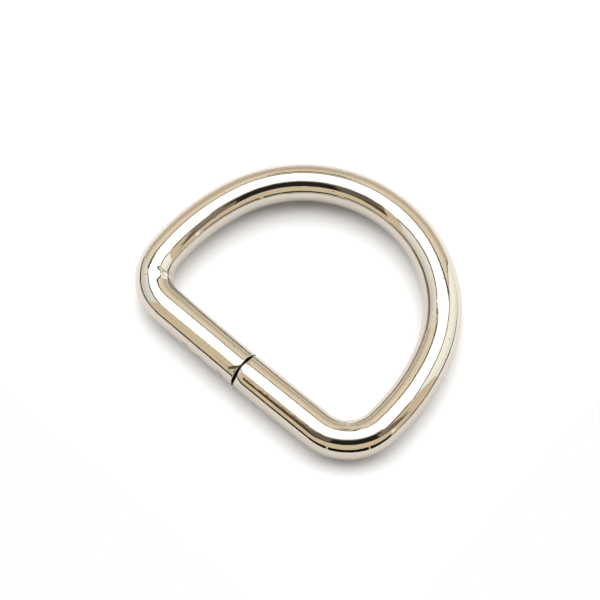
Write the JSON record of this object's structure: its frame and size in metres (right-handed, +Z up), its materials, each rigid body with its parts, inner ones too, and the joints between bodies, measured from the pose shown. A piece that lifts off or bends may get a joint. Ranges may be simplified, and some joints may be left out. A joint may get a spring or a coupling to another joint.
{
  "type": "d ring",
  "caption": "D-shaped ring bent from one length of round plated wire, butted in the middle of its straight bar; joins a strap to a hook, clip or second strap.",
  "frame": {"origin": "under the middle of the outline, on the surface that the ring lies on", "axes": "+X along the straight bar, +Y from the bar to the bow, +Z up through the eye"},
  "size_m": [0.0336, 0.0276, 0.004],
  "materials": {
    "nickel_plate": "bright polished nickel plate on steel wire, warm grey, with fine scratches, a pinched crease inside each corner and an open butt joint"
  },
  "bodies": {
    "root": {"ring_wire": "nickel_plate"}
  },
  "joints": []
}
